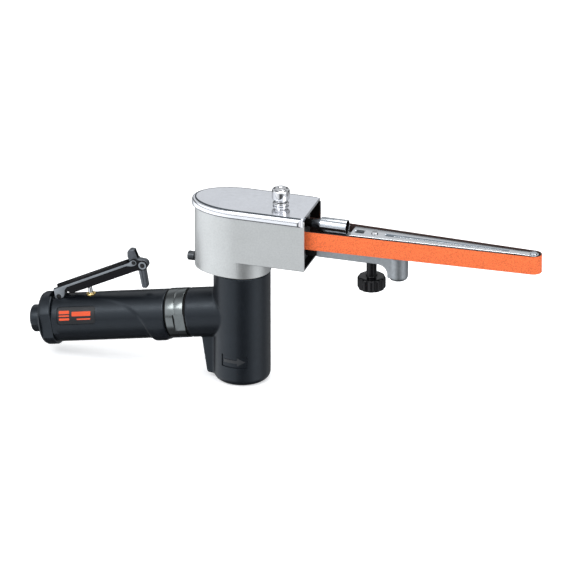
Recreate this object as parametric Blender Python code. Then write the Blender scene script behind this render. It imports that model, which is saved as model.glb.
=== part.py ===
"""Air-powered narrow belt sander: every physical piece is its own named object.

Lengths below are in millimetres and are scaled to metres when a mesh is stored.
+X runs from the motor to the belt tip, +Z is up, and the origin is the centre of
the motor barrel's flat foot. Handle parts are drawn on a straight handle axis
(s = distance back from the motor axis, t = height above the handle axis) and are
then tipped down by HANDLE_DROOP.
"""
import math

import bmesh
import bpy
from mathutils import Matrix, Vector

MM = 0.001

# belt
BELT_W = 12.7
BELT_T = 0.8
BELT_Z0 = 102.5
DRIVE_R = 12.7
TIP_R = 4.7
TIP_X = 199.5

# motor barrel
BARREL_R = 18.85
FOOT_R = 13.85
BARREL_TOP = 77.6
SPIGOT_R = 17.0
SPIGOT_TOP = 88.0
BORE_R = 15.3

# handle
HANDLE_Z = 47.5
HANDLE_DROOP = math.radians(10.0)
GRIP_R = 16.4
NECK_END = 34.7
GRIP_S0 = 49.6
GRIP_S1 = 128.6
INLET_END = 146.0
VALVE_S = 103.0

# throttle lever
PIVOT_S = 124.1
PIVOT_T = 16.6
LEVER_RISE = math.radians(21.0)
LOCK_U = 64.9
LOCK_V = -4.1

# belt housing
WALL_HALF = 18.7
NOSE_LEN = 32.0
MOUTH_X = 48.4
SKIRT_Z = 77.9
FLOOR_Z = 89.3
WALL_TOP = 124.9
LID_TOP = 127.2
SHEET = 1.3
LID_KNOB_X = 26.6

# arm
ROD_Z = 116.9
KNOB_X = 88.9
FINGER_X = 107.2

BLACK = (0.045, 0.048, 0.055)
STEEL = (0.62, 0.63, 0.64)


def clear_scene():
    for obj in list(bpy.data.objects):
        bpy.data.objects.remove(obj, do_unlink=True)


def handle_frame():
    """Handle space to row space: local x = -s, local z = t."""
    return Matrix.Translation((0, 0, HANDLE_Z)) @ Matrix.Rotation(-HANDLE_DROOP, 4, "Y")


def lever_frame():
    """Lever space to row space: local x = distance forward of the pivot, z = height above it."""
    pivot = Matrix.Translation((-PIVOT_S, 0, PIVOT_T))
    return handle_frame() @ pivot @ Matrix.Rotation(-LEVER_RISE, 4, "Y")


def along_x(x, y, z):
    """Puts a mesh drawn around Z on an axis parallel to +X through the point."""
    return Matrix.Translation((x, y, z)) @ Matrix.Rotation(math.pi / 2, 4, "Y")


def along_y(x, y, z):
    """Puts a mesh drawn around Z on an axis parallel to +Y through the point."""
    return Matrix.Translation((x, y, z)) @ Matrix.Rotation(-math.pi / 2, 4, "X")


def shift(x, y, z):
    return Matrix.Translation((x, y, z))


def store(name, bm, colour, metallic, roughness):
    """Writes a mesh, in metres, to a new object with its own material."""
    bmesh.ops.remove_doubles(bm, verts=bm.verts, dist=1e-5)
    bmesh.ops.recalc_face_normals(bm, faces=bm.faces)
    bm.transform(Matrix.Scale(MM, 4))
    mesh = bpy.data.meshes.new(name)
    bm.to_mesh(mesh)
    bm.free()
    obj = bpy.data.objects.new(name, mesh)
    bpy.context.scene.collection.objects.link(obj)
    mat = bpy.data.materials.new(name)
    mat.use_nodes = True
    shader = mat.node_tree.nodes["Principled BSDF"]
    shader.inputs["Base Color"].default_value = (*colour, 1.0)
    shader.inputs["Metallic"].default_value = metallic
    shader.inputs["Roughness"].default_value = roughness
    mesh.materials.append(mat)
    return obj


def loft(rings, closed=False):
    """Skins rings that all have the same number of points; caps the ends unless closed."""
    bm = bmesh.new()
    loops = [[bm.verts.new(p) for p in ring] for ring in rings]
    count = len(loops[0])
    last = len(loops) if closed else len(loops) - 1
    for i in range(last):
        a = loops[i]
        b = loops[(i + 1) % len(loops)]
        for j in range(count):
            k = (j + 1) % count
            bm.faces.new((a[j], a[k], b[k], b[j]))
    if not closed:
        bm.faces.new(loops[0])
        bm.faces.new(loops[-1])
    bmesh.ops.recalc_face_normals(bm, faces=bm.faces)
    return bm


def revolve(profile, segs=24):
    """Turns a closed (radius, height) profile about Z; points on the axis become one vertex."""
    bm = bmesh.new()
    rings = []
    for r, h in profile:
        if r < 1e-6:
            rings.append([bm.verts.new((0, 0, h))])
            continue
        turn = [2 * math.pi * (i + 0.5) / segs for i in range(segs)]
        rings.append([bm.verts.new((r * math.cos(a), r * math.sin(a), h)) for a in turn])
    for a, b in zip(rings, rings[1:] + rings[:1]):
        if len(a) == 1 and len(b) == 1:
            continue
        for i in range(segs):
            j = (i + 1) % segs
            corners = [a[i % len(a)], a[j % len(a)], b[j % len(b)], b[i % len(b)]]
            bm.faces.new(list(dict.fromkeys(corners)))
    bmesh.ops.recalc_face_normals(bm, faces=bm.faces)
    return bm


def disc(r, z0, z1, segs=24):
    return revolve([(0, z0), (r, z0), (r, z1), (0, z1)], segs)


def ring(r_in, r_out, z0, z1, segs=24):
    return revolve([(r_in, z0), (r_out, z0), (r_out, z1), (r_in, z1)], segs)


def prism(outline, lo, hi, axis="Z"):
    """Extrudes an outline along axis; X takes (y, z) points, Y takes (x, z), Z takes (x, y)."""
    order = {"X": (2, 0, 1), "Y": (0, 2, 1), "Z": (0, 1, 2)}[axis]
    rings = []
    for level in (lo, hi):
        rings.append([tuple((a, b, level)[i] for i in order) for a, b in outline])
    return loft(rings)


def box(x0, x1, y0, y1, z0, z1):
    return prism([(x0, y0), (x1, y0), (x1, y1), (x0, y1)], z0, z1)


def arc(cx, cy, rx, ry, start, end, steps):
    """Points on an ellipse arc, angles in degrees, both ends included."""
    points = []
    for i in range(steps + 1):
        a = math.radians(start + (end - start) * i / steps)
        points.append((cx + rx * math.cos(a), cy + ry * math.sin(a)))
    return points


def moved(bm, matrix):
    bm.transform(matrix)
    return bm


def combine(bm, tool, operation):
    """Exact boolean of two meshes; both are used up."""
    objects = []
    for name, source in (("base", bm), ("tool", tool)):
        bmesh.ops.triangulate(source, faces=source.faces)
        bmesh.ops.recalc_face_normals(source, faces=source.faces)
        mesh = bpy.data.meshes.new(name)
        source.to_mesh(mesh)
        source.free()
        obj = bpy.data.objects.new(name, mesh)
        bpy.context.scene.collection.objects.link(obj)
        objects.append(obj)
    base, cutter = objects
    cutter.hide_render = True
    cutter.display_type = "WIRE"
    mod = base.modifiers.new("combine", "BOOLEAN")
    mod.operation = operation
    mod.object = cutter
    result = bmesh.new()
    result.from_object(base, bpy.context.evaluated_depsgraph_get())
    for obj in objects:
        bpy.data.objects.remove(obj, do_unlink=True)
    bmesh.ops.remove_doubles(result, verts=result.verts, dist=1e-4)
    bmesh.ops.dissolve_degenerate(result, edges=result.edges, dist=1e-4)
    return result


def cut(bm, *tools):
    for tool in tools:
        bm = combine(bm, tool, "DIFFERENCE")
    return bm


def join(bm, *tools):
    for tool in tools:
        bm = combine(bm, tool, "UNION")
    return bm


def spring(radius, wire, z0, z1, turns, per_turn=12, sides=6):
    """A coil about Z with flat-capped wire ends."""
    rings = []
    steps = int(turns * per_turn)
    for i in range(steps + 1):
        a = 2 * math.pi * i / per_turn
        z = z0 + wire + (z1 - z0 - 2 * wire) * i / steps
        out = Vector((math.cos(a), math.sin(a), 0))
        centre = out * radius + Vector((0, 0, z))
        loop = []
        for j in range(sides):
            b = 2 * math.pi * j / sides
            loop.append(centre + out * (wire * math.cos(b)) + Vector((0, 0, wire * math.sin(b))))
        rings.append(loop)
    return loft(rings)


def handle_ring(r_in, r_out, s0, s1, segs=24):
    """A ring about the handle axis between two stations."""
    return moved(ring(r_in, r_out, s0, s1, segs), along_back())


def along_back():
    """Mesh drawn around Z laid along -X, so its height becomes the station s."""
    return Matrix.Rotation(-math.pi / 2, 4, "Y")


# ---------------------------------------------------------------- motor

def angle_housing():
    foot = [(0, 0), (FOOT_R, 0), (15.76, 0.38), (17.39, 1.46), (18.47, 3.09), (BARREL_R, 5)]
    top = [(BARREL_R, BARREL_TOP), (SPIGOT_R, BARREL_TOP), (SPIGOT_R, SPIGOT_TOP), (0, SPIGOT_TOP)]
    body = revolve(foot + top, 40)
    neck = moved(disc(GRIP_R, 4, NECK_END, 32), along_back())
    neck.transform(handle_frame())
    gusset_side = [(-8, 3), (-19.5, 3), (-21.0, 3.6), (-21.9, 5), (-25.3, 27), (-26.5, 34), (-8, 44)]
    gusset = prism(gusset_side, -8, 8, "Y")
    body = join(body, neck, gusset)
    passage = moved(disc(5, 12, 30, 16), along_back())
    passage.transform(handle_frame())
    socket = moved(disc(11.3, 29.5, 40, 24), along_back())
    socket.transform(handle_frame())
    mark = arc(0, 0, 18.45, 18.45, -118, -62, 6) + arc(0, 0, 25, 25, -62, -118, 6)
    body = cut(body, disc(BORE_R, 4, 95, 32), passage, socket, prism(mark, 13.65, 22.35))
    store("angle_housing", body, BLACK, 0.0, 0.6)


def motor_stack():
    bore = moved(disc(11.5, 11, 46, 32), shift(1.2, 0, 0))
    store("motor_cylinder", cut(disc(15.0, 12.2, 44.0, 32), bore), (0.45, 0.46, 0.48), 1.0, 0.35)
    plates = (("lower", 8.0, 12.0, 8.2, 11.8), ("upper", 44.2, 49.0, 44.6, 48.6))
    for name, z0, z1, b0, b1 in plates:
        store(name + "_end_plate", ring(6.6, 15.0, z0, z1), (0.5, 0.51, 0.53), 1.0, 0.35)
        store(name + "_bearing", ring(3.15, 6.4, b0, b1), (0.7, 0.7, 0.71), 1.0, 0.2)
    store("lock_ring", ring(9.0, 15.0, 49.3, 55.0), (0.4, 0.41, 0.42), 1.0, 0.4)


def rotor():
    profile = [(0, 6), (3.0, 6), (3.0, 12.6), (10.0, 12.6), (10.0, 43.6), (3.0, 43.6)]
    profile += [(3.0, 116.0), (1.6, 116.0), (1.6, 106.0), (0, 106.0)]
    body = revolve(profile)
    for i in range(4):
        slot = box(5.0, 11.0, -0.8, 0.8, 12, 44)
        body = cut(body, moved(slot, Matrix.Rotation(i * math.pi / 2, 4, "Z")))
        vane = moved(box(5.3, 9.7, -0.55, 0.55, 13, 43.2), Matrix.Rotation(i * math.pi / 2, 4, "Z"))
        store(f"vane_{i + 1}", vane, (0.25, 0.18, 0.1), 0.0, 0.6)
    store("rotor", body, (0.5, 0.5, 0.52), 1.0, 0.3)


def drive_wheel():
    store("drive_wheel", ring(3.15, 10.2, 102.0, 115.7), (0.75, 0.75, 0.77), 1.0, 0.3)
    store("drive_tyre", ring(10.35, DRIVE_R - 0.1, 102.2, 115.6, 32), (0.03, 0.03, 0.03), 0.0, 0.8)
    screw = [(0, 108.0), (1.4, 108.0), (1.4, 116.3), (4.6, 116.3), (4.6, 118.0), (3.0, 119.2)]
    store("wheel_screw", revolve(screw + [(0, 119.2)], 20), (0.3, 0.3, 0.31), 1.0, 0.35)


# ---------------------------------------------------------------- belt housing

def housing_outline(grow, front):
    """Plan of the housing: half-ellipse nose behind the motor axis, straight walls in front."""
    nose = arc(0, 0, NOSE_LEN + grow, WALL_HALF + grow, 90, 270, 18)
    return nose + [(front, -WALL_HALF - grow), (front, WALL_HALF + grow)]


def belt_housing():
    skirt_plan = arc(0, 0, NOSE_LEN, WALL_HALF, 90, 270, 18) + arc(0, 0, 19.4, WALL_HALF, -80, 80, 16)
    body = prism(housing_outline(0, MOUTH_X), FLOOR_Z, WALL_TOP)
    body = join(body, prism(skirt_plan, SKIRT_Z, FLOOR_Z + 1))
    inside = prism(housing_outline(-SHEET, 70), FLOOR_Z + SHEET, 140)
    screw_hole = moved(disc(1.9, -42, -14, 16), along_x(0, 0, 82.3))
    body = cut(body, inside, disc(SPIGOT_R + 0.35, 70, 95, 32), screw_hole)
    store("belt_housing", body, (0.66, 0.67, 0.66), 1.0, 0.32)


def clamp_screw():
    profile = [(0, -37.0), (2.5, -37.0), (3.1, -36.4), (3.1, -32.4), (1.7, -32.4), (1.7, -18.0)]
    store("clamp_screw", moved(revolve(profile + [(0, -18.0)], 20), along_x(0, 0, 82.3)),
          (0.12, 0.12, 0.13), 1.0, 0.4)


def lid():
    steps = [(0.5, 121.4), (1.5, 122.2), (2.1, 123.6), (1.9, 125.2), (1.1, 126.4), (0.1, 127.0)]
    steps.append((-1.2, LID_TOP))
    rings = []
    for grow, z in steps:
        rings.append([(x, y, z) for x, y in housing_outline(grow, 47.6)])
    hollow = prism(housing_outline(0.25, 70), 115, WALL_TOP + 0.3)
    body = cut(loft(rings), hollow, moved(disc(2.3, 120, 135, 16), shift(LID_KNOB_X, 0, 0)))
    store("lid", body, (0.72, 0.73, 0.72), 1.0, 0.22)


def lid_knob():
    profile = [(0, 112.6), (1.9, 112.6), (1.9, 127.5), (4.9, 127.5), (5.2, 128.6), (4.2, 129.4)]
    profile += [(4.0, 130.8), (5.6, 131.6), (6.0, 132.4), (6.0, 137.2), (5.2, 138.2), (4.2, 139.4)]
    knob = moved(revolve(profile + [(0, 139.4)]), shift(LID_KNOB_X, 0, 0))
    store("lid_knob", knob, (0.82, 0.82, 0.83), 1.0, 0.12)


def mount_block():
    """Bolted to the housing floor; its bore guides the tension rod, its notch clears the slide foot."""
    side = [(16, 91.0), (44, 91.0), (44, 94.6), (36.5, 94.6), (36.5, 102.2), (44, 102.2), (44, 121.4)]
    body = prism(side + [(16, 121.4)], -8.4, 8.4, "Y")
    screw = moved(disc(2.2, 111.5, 125, 16), shift(LID_KNOB_X, 0, 0))
    rod = moved(disc(3.75, 30, 50, 20), along_x(0, 0, ROD_Z))
    store("mount_block", cut(body, screw, rod), (0.35, 0.35, 0.36), 1.0, 0.45)
    coil = moved(spring(2.9, 0.4, 30.1, 38.9, 4), along_x(0, 0, ROD_Z))
    store("tension_spring", coil, (0.2, 0.2, 0.21), 1.0, 0.35)


# ---------------------------------------------------------------- arm

def belt_inner(x):
    """Half-gap between the two belt runs at station x."""
    return DRIVE_R - (DRIVE_R - TIP_R) * x / TIP_X


def arm_half(x):
    """Outer half-width of the contact arm's side flanges."""
    return belt_inner(x) - 2.3


def tension_rod():
    """Slides in the mount block; its flared end carries the tube."""
    profile = [(0, 39.2), (2.4, 39.2), (2.4, 49.0), (3.4, 53.4), (3.4, 60.0), (0, 60.0)]
    rod = moved(revolve(profile, 20), along_x(0, 0, ROD_Z))
    store("tension_rod", rod, (0.3, 0.3, 0.31), 1.0, 0.3)
    store("slide_foot", box(45.4, 52.8, -6.0, 6.0, 95.9, 101.0), (0.05, 0.05, 0.055), 0.0, 0.5)


def tension_tube():
    tube = moved(ring(3.75, 4.9, 54.6, 72.4), along_x(0, 0, ROD_Z))
    store("tension_tube", tube, (0.74, 0.74, 0.75), 1.0, 0.2)


def arm_bracket():
    side = [(53, 95.6), (95, 95.6)] + arc(95, 89.4, 6.2, 6.2, 90, 0, 6)
    body = prism(side + [(101.2, 87.0), (107.2, 87.0), (107.2, 101.3), (53, 101.3)], -6.0, 6.0, "Y")
    post = [(0, 84.5), (4.2, 84.5), (5.8, 85.3), (6.5, 87.0), (6.5, 101.3), (0, 101.3)]
    body = join(body, moved(revolve(post), shift(FINGER_X, 0, 0)))
    pillar = [(57, 100), (93, 100), (93, 113.6), (75.2, 113.6), (75.2, 111.8), (57, 111.8)]
    body = join(body, prism(pillar, -5.2, 5.2, "Y"))
    body = cut(body, moved(disc(2.3, 90, 111, 16), shift(KNOB_X, 0, 0)))
    store("arm_bracket", body, (0.6, 0.61, 0.62), 1.0, 0.42)


def clamp_knob():
    count = 48
    rings = []
    steps = [(0.82, 0.0, 75.7), (0.97, 0.5, 76.3), (1.0, 1.0, 77.0), (1.0, 1.0, 83.4)]
    steps += [(0.93, 0.5, 84.2), (0.8, 0.0, 84.6)]
    for scale, flute, z in steps:
        loop = []
        for i in range(count):
            a = 2 * math.pi * i / count
            r = scale * (9.35 - 0.45 * flute * (1 - math.cos(12 * a)))
            loop.append((r * math.cos(a), r * math.sin(a), z))
        rings.append(loop)
    for r, z in ((3.4, 84.7), (3.4, 95.3), (2.05, 95.4), (2.05, 110.2)):
        turn = [2 * math.pi * i / count for i in range(count)]
        rings.append([(r * math.cos(a), r * math.sin(a), z) for a in turn])
    store("clamp_knob", moved(loft(rings), shift(KNOB_X, 0, 0)), (0.02, 0.02, 0.02), 0.0, 0.2)


def contact_arm():
    def plan(front, inset, tip):
        near = [(75.6, -arm_half(75.6) + inset), (front, -arm_half(front) + inset)]
        far = [(front, arm_half(front) - inset), (75.6, arm_half(75.6) - inset)]
        return near + tip + far

    tip = arc(TIP_X, 0, 3.4, 3.4, -80, 80, 8)
    body = prism(plan(189.0, 0, []), 103.2, 115.0)
    body = cut(body, prism(plan(186.0, 1.0, []), 100, 113.9))
    body = join(body, prism(plan(189.0, 0, tip), 113.9, 115.0))
    lower = [(184, -2.2), (192, -2.4)] + arc(TIP_X, 0, 3.4, 3.4, -80, 80, 8) + [(192, 2.4), (184, 2.2)]
    body = join(body, prism(lower, 102.9, 104.0))
    slot = prism([(98, -1.4), (178, -0.9), (178, 0.9), (98, 1.4)], 110, 120)
    axle = moved(disc(1.7, 100, 120, 16), shift(TIP_X, 0, 0))
    rivet = moved(disc(1.5, 112, 120, 12), shift(91, 0, 0))
    body = cut(body, slot, axle, rivet, box(77.5, 84, -3.0, 3.0, 114.3, 120))
    store("contact_arm", body, (0.7, 0.7, 0.72), 1.0, 0.25)


def arm_trim():
    profile = [(0, 113.95), (1.35, 113.95), (1.35, 115.15), (2.4, 115.15), (2.0, 116.0), (0, 116.1)]
    store("arm_rivet", moved(revolve(profile, 16), shift(91, 0, 0)), (0.75, 0.75, 0.76), 1.0, 0.2)
    for name, side in (("platen_near", -1), ("platen_far", 1)):
        inner = [(x, side * (arm_half(x) + 0.15)) for x in (96, 184)]
        outer = [(x, side * (arm_half(x) + 1.75)) for x in (184, 96)]
        store(name, prism(inner + outer, 103.4, 114.4), (0.03, 0.03, 0.03), 0.0, 0.5)


def tip_wheel():
    at_tip = shift(TIP_X, 0, 0)
    store("tip_wheel", moved(ring(3.15, TIP_R - 0.12, 104.3, 113.6, 28), at_tip),
          (0.7, 0.7, 0.72), 1.0, 0.25)
    store("tip_bearing", moved(ring(1.75, 3.0, 104.6, 113.3, 20), at_tip), (0.75, 0.7, 0.5), 1.0, 0.3)
    axle = [(0, 101.9), (2.6, 101.9), (2.6, 102.6), (1.6, 102.6), (1.6, 115.2), (2.6, 115.2)]
    store("tip_axle", moved(revolve(axle + [(2.2, 115.9), (0, 115.9)], 16), at_tip),
          (0.6, 0.6, 0.62), 1.0, 0.25)


def belt_path(offset):
    """Closed plan curve round both wheels, offset outward from the wheels' running radii."""
    lean = math.degrees(math.asin((DRIVE_R - TIP_R) / TIP_X))
    big = DRIVE_R + offset
    small = TIP_R + offset
    rear = arc(0, 0, big, big, 90 - lean, 270 + lean, 28)
    front = arc(TIP_X, 0, small, small, -90 + lean, 90 - lean, 20)
    return rear + front


def abrasive_belt():
    levels = (BELT_Z0, BELT_Z0 + BELT_W)
    corners = ((0.0, levels[0]), (BELT_T, levels[0]), (BELT_T, levels[1]), (0.0, levels[1]))
    rings = [[(x, y, z) for x, y in belt_path(offset)] for offset, z in corners]
    store("abrasive_belt", loft(rings, closed=True), (0.85, 0.2, 0.04), 0.0, 0.75)


# ---------------------------------------------------------------- handle

def grip_radius(s, angle):
    """Grip surface; angle 0 is the top, 180 the underside, where a lip stops the hand."""
    lip = max(0.0, 1.0 - abs(s - 57.5) / 7.5) * max(0.0, -math.cos(angle)) ** 1.5
    return GRIP_R + 1.7 * min(1.0, 1.6 * lip)


def grip():
    rings = []
    stations = [(49.6, -0.5), (50.2, 0), (53.5, 0), (57.5, 0), (61.5, 0), (65.5, 0), (95, 0)]
    stations += [(127.8, 0), (GRIP_S1, -0.6)]
    for s, grow in stations:
        loop = []
        for i in range(32):
            a = 2 * math.pi * i / 32
            r = grip_radius(s, a) + grow
            loop.append((-s, r * math.sin(a), r * math.cos(a)))
        rings.append(loop)
    body = loft(rings)
    lug_side = [(-127.8, 10), (-127.4, 16.6)] + arc(-PIVOT_S, PIVOT_T, 3.2, 3.2, 180, 0, 8)
    body = join(body, prism(lug_side + [(-120.8, 16.6), (-120.4, 10)], -3.1, 3.1, "Y"))
    body = cut(body, moved(disc(11.3, 40, 118, 24), along_back()))
    body = cut(body, moved(disc(13.4, 117.5, 140, 24), along_back()))
    body = cut(body, moved(disc(3.45, 8, 30, 16), shift(-VALVE_S, 0, 0)))
    for side in (-1, 1):
        body = cut(body, box(-132, -112.5, min(side * 3.1, side * 4.8), max(side * 3.1, side * 4.8), 12.7, 30))
        body = cut(body, box(-130, -124.4, min(side * 15, side * 20), max(side * 15, side * 20), -9, 9))
    body = cut(body, moved(disc(1.6, -10, 10, 16), along_y(-PIVOT_S, 0, PIVOT_T)))
    body = cut(body, label_block(27.0, 12.0, 15.3, 30.0))
    body.transform(handle_frame())
    store("handle_grip", body, BLACK, 0.0, 0.65)


def label_block(length, height, depth0, depth1):
    """A rounded plate on the near side, 25 degrees above the horizontal."""
    centre = -110.75
    corner = 2.2
    plan = []
    for cx, cy, start in ((1, 1, 0), (-1, 1, 90), (-1, -1, 180), (1, -1, 270)):
        x = centre + cx * (length / 2 - corner)
        y = cy * (height / 2 - corner)
        plan += arc(x, y, corner, corner, start, start + 90, 3)
    return moved(prism(plan, depth0, depth1), Matrix.Rotation(math.radians(65), 4, "X"))


def label_plate():
    plate = moved(label_block(26.2, 11.2, 15.45, 15.9), handle_frame())
    store("label_plate", plate, (0.08, 0.08, 0.09), 0.0, 0.4)


def valve_body():
    body = moved(ring(8.2, 11.0, 30.2, 131.5), along_back())
    body = cut(body, moved(disc(3.45, 5, 20, 16), shift(-VALVE_S, 0, 0)))
    body.transform(handle_frame())
    store("valve_body", body, (0.6, 0.6, 0.62), 1.0, 0.35)


def collar():
    body = moved(ring(11.4, 16.5, 36.0, 48.2, 32), along_back())
    for side in (-1, 1):
        flat = box(-43.0, -35.0, min(side * 15.0, side * 20), max(side * 15.0, side * 20), -7.5, 5.0)
        body = cut(body, flat)
    body.transform(handle_frame())
    store("collar", body, (0.32, 0.34, 0.36), 1.0, 0.18)
    for name, s0 in (("oring_front", 34.95), ("oring_rear", 48.4)):
        seal = moved(handle_ring(11.6, 15.8, s0, s0 + 0.9), handle_frame())
        store(name, seal, (0.02, 0.02, 0.02), 0.0, 0.7)


def rear_end():
    profile = [(11.3, 128.9), (16.9, 128.9), (17.6, 129.8), (17.6, 136.6), (16.4, 138.0)]
    profile += [(9.3, 138.0), (9.3, 132.0), (11.3, 132.0)]
    cap = moved(revolve(profile, 32), along_back())
    for side in (-1, 1):
        cap = cut(cap, box(-136.4, -127, min(side * 15, side * 22), max(side * 15, side * 22), -9.4, 9.4))
    cap.transform(handle_frame())
    cap = cut(cap, rear_cap_relief())
    store("rear_cap", cap, (0.05, 0.052, 0.058), 0.0, 0.6)
    inlet = [(6.3, 132.0), (7.9, 132.0), (7.9, 138.3), (9.0, 138.3), (9.0, 145.2), (8.4, INLET_END)]
    body = moved(revolve(inlet + [(6.3, INLET_END)]), along_back())
    body.transform(handle_frame())
    store("inlet_bushing", body, (0.2, 0.2, 0.21), 1.0, 0.4)
    screen = disc(6.0, 134.0, 134.6, 20)
    for i in range(6):
        a = i * math.pi / 3
        screen = cut(screen, moved(disc(1.1, 130, 140, 8), shift(3.5 * math.cos(a), 3.5 * math.sin(a), 0)))
    screen.transform(along_back())
    screen.transform(handle_frame())
    store("inlet_screen", screen, (0.7, 0.6, 0.35), 1.0, 0.35)
    felt = moved(handle_ring(11.3, 13.1, 118.0, 128.2), handle_frame())
    store("felt_silencer", felt, (0.5, 0.5, 0.48), 0.0, 0.95)


def rear_cap_relief():
    """Clearance on top of the cap for the lever's pivot ears."""
    return moved(box(-131.0, -127, -4.9, 4.9, 13.6, 24), handle_frame())


# ---------------------------------------------------------------- throttle and valve

def throttle_lever():
    top = [(-0.9, 6.3), (57.6, 1.8), (59.8, 2.4), (61.6, 2.1), (62.6, 0.7)]
    lobe = arc(LOCK_U, LOCK_V, 3.4, 3.4, 75, -110, 8)
    belly = [(59.2, -5.8), (14.3, -2.2), (9.0, -1.6), (7.2, 0.6), (3.2, 1.0), (2.4, -2.0)]
    side = top + lobe + belly + [(-3.7, -1.9)]
    body = prism(side, -4.4, 4.4, "Y")
    inner = [(-12, -20), (80, -20), (80, 10), (60.5, 10), (60.5, 0.35), (3.0, 4.8), (3.0, 10), (-12, 10)]
    body = cut(body, prism(inner, -3.4, 3.4, "Y"), box(54.6, 75, -3.3, 3.3, 0, 10))
    for u, v, r in ((0, 0, 1.65), (LOCK_U, LOCK_V, 1.4), (60.4, 0.1, 1.0)):
        body = cut(body, moved(disc(r, -10, 10, 16), along_y(u, 0, v)))
    body.transform(lever_frame())
    store("throttle_lever", body, (0.05, 0.05, 0.055), 1.0, 0.35)


def lever_pins():
    pin = moved(disc(1.5, -4.7, 4.7, 16), along_y(0, 0, 0))
    store("lever_pin", moved(pin, lever_frame()), (0.25, 0.25, 0.26), 1.0, 0.35)
    pin = moved(disc(1.3, -4.8, 4.8, 16), along_y(LOCK_U, 0, LOCK_V))
    store("lock_pin", moved(pin, lever_frame()), (0.3, 0.3, 0.31), 1.0, 0.35)
    for name, side in (("lever_rivet_near", -1), ("lever_rivet_far", 1)):
        profile = [(0, 3.5), (0.9, 3.5), (0.9, 4.5), (1.6, 4.5), (1.3, 4.8), (0, 4.9)]
        rivet = revolve(profile, 14)
        if side < 0:
            rivet.transform(Matrix.Rotation(math.pi, 4, "X"))
        rivet.transform(along_y(60.4, 0, 0.1))
        store(name, moved(rivet, lever_frame()), (0.4, 0.4, 0.42), 1.0, 0.3)


def lock_off_lever():
    leg = [(-61.6, 32.5), (-61.7, 20.4), (-62.5, 19.3), (-65.0, 19.5), (-65.7, 20.5), (-66.0, 32.0)]
    tab = [(-67.6, 37.0), (-71.4, 38.3), (-73.4, 41.0), (-73.6, 44.6), (-72.0, 46.4), (-68.6, 46.3), (-66.6, 44.0)]
    outline = leg + tab + [(-63.4, 38.9)] + arc(-62.0, 36.0, 3.2, 3.2, 80, -50, 6)
    body = prism(outline, -2.9, 1.9, "Y")
    bore = moved(disc(1.45, -10, 10, 16), along_y(-62.0, 0, 36.0))
    slot = moved(box(-1.2, 1.2, -1.3, 0.7, -2.6, 2.6), shift(-66.0, 0, 42.4))
    body = cut(body, bore, slot)
    body.transform(handle_frame())
    store("lock_off_lever", body, (0.28, 0.29, 0.3), 1.0, 0.4)
    coil = moved(spring(2.0, 0.25, 2.0, 3.35, 1.4), along_y(LOCK_U, 0, LOCK_V))
    store("lock_spring", moved(coil, lever_frame()), (0.5, 0.5, 0.52), 1.0, 0.3)


def valve_parts():
    at_valve = handle_frame() @ shift(-VALVE_S, 0, 0)
    bush = ring(1.65, 3.2, 1.8, 16.6, 18)
    store("valve_bushing", moved(bush, at_valve), (0.8, 0.62, 0.25), 1.0, 0.25)
    stem = [(0, -2.4), (1.4, -2.4), (1.5, 0), (1.5, 26.4), (1.0, 27.2), (0, 27.5)]
    store("valve_stem", moved(revolve(stem, 16), at_valve), (0.85, 0.85, 0.86), 1.0, 0.1)
    seal = ring(1.65, 3.4, -0.6, 1.5, 18)
    store("valve_disc", moved(seal, at_valve), (0.03, 0.03, 0.03), 0.0, 0.7)
    coil = moved(spring(2.3, 0.3, -7.8, -0.8, 4), at_valve)
    store("valve_spring", coil, (0.6, 0.6, 0.62), 1.0, 0.25)


def build():
    clear_scene()
    for make in (angle_housing, motor_stack, rotor, drive_wheel, belt_housing, clamp_screw, lid,
                 lid_knob, mount_block, tension_rod,
                 tension_tube, arm_bracket, clamp_knob,
                 contact_arm, arm_trim, tip_wheel, abrasive_belt, grip, label_plate, valve_body,
                 collar, rear_end, throttle_lever, lever_pins, lock_off_lever, valve_parts):
        make()


build()
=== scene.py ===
"""Looks for the air-powered narrow belt sander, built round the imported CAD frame.

Shapes are drawn in millimetres and scaled to metres when a piece is stored. Handle
pieces are drawn on a straight handle axis (s = distance back from the motor axis)
and then tipped into place.
"""
import math

import bmesh
import bpy
from mathutils import Matrix, Vector


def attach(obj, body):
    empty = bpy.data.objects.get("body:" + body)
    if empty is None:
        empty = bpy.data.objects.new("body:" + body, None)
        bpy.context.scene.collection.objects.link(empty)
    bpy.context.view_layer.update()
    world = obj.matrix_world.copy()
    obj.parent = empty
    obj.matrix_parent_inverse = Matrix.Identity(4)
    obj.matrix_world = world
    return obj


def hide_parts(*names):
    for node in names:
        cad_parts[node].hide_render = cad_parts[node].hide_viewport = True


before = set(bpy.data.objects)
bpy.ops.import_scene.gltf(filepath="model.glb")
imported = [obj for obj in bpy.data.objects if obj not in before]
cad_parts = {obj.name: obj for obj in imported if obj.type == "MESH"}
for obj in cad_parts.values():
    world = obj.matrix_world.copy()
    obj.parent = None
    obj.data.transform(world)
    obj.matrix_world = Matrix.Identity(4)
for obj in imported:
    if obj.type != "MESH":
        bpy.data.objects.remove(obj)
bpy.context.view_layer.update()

MM = 0.001

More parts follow.
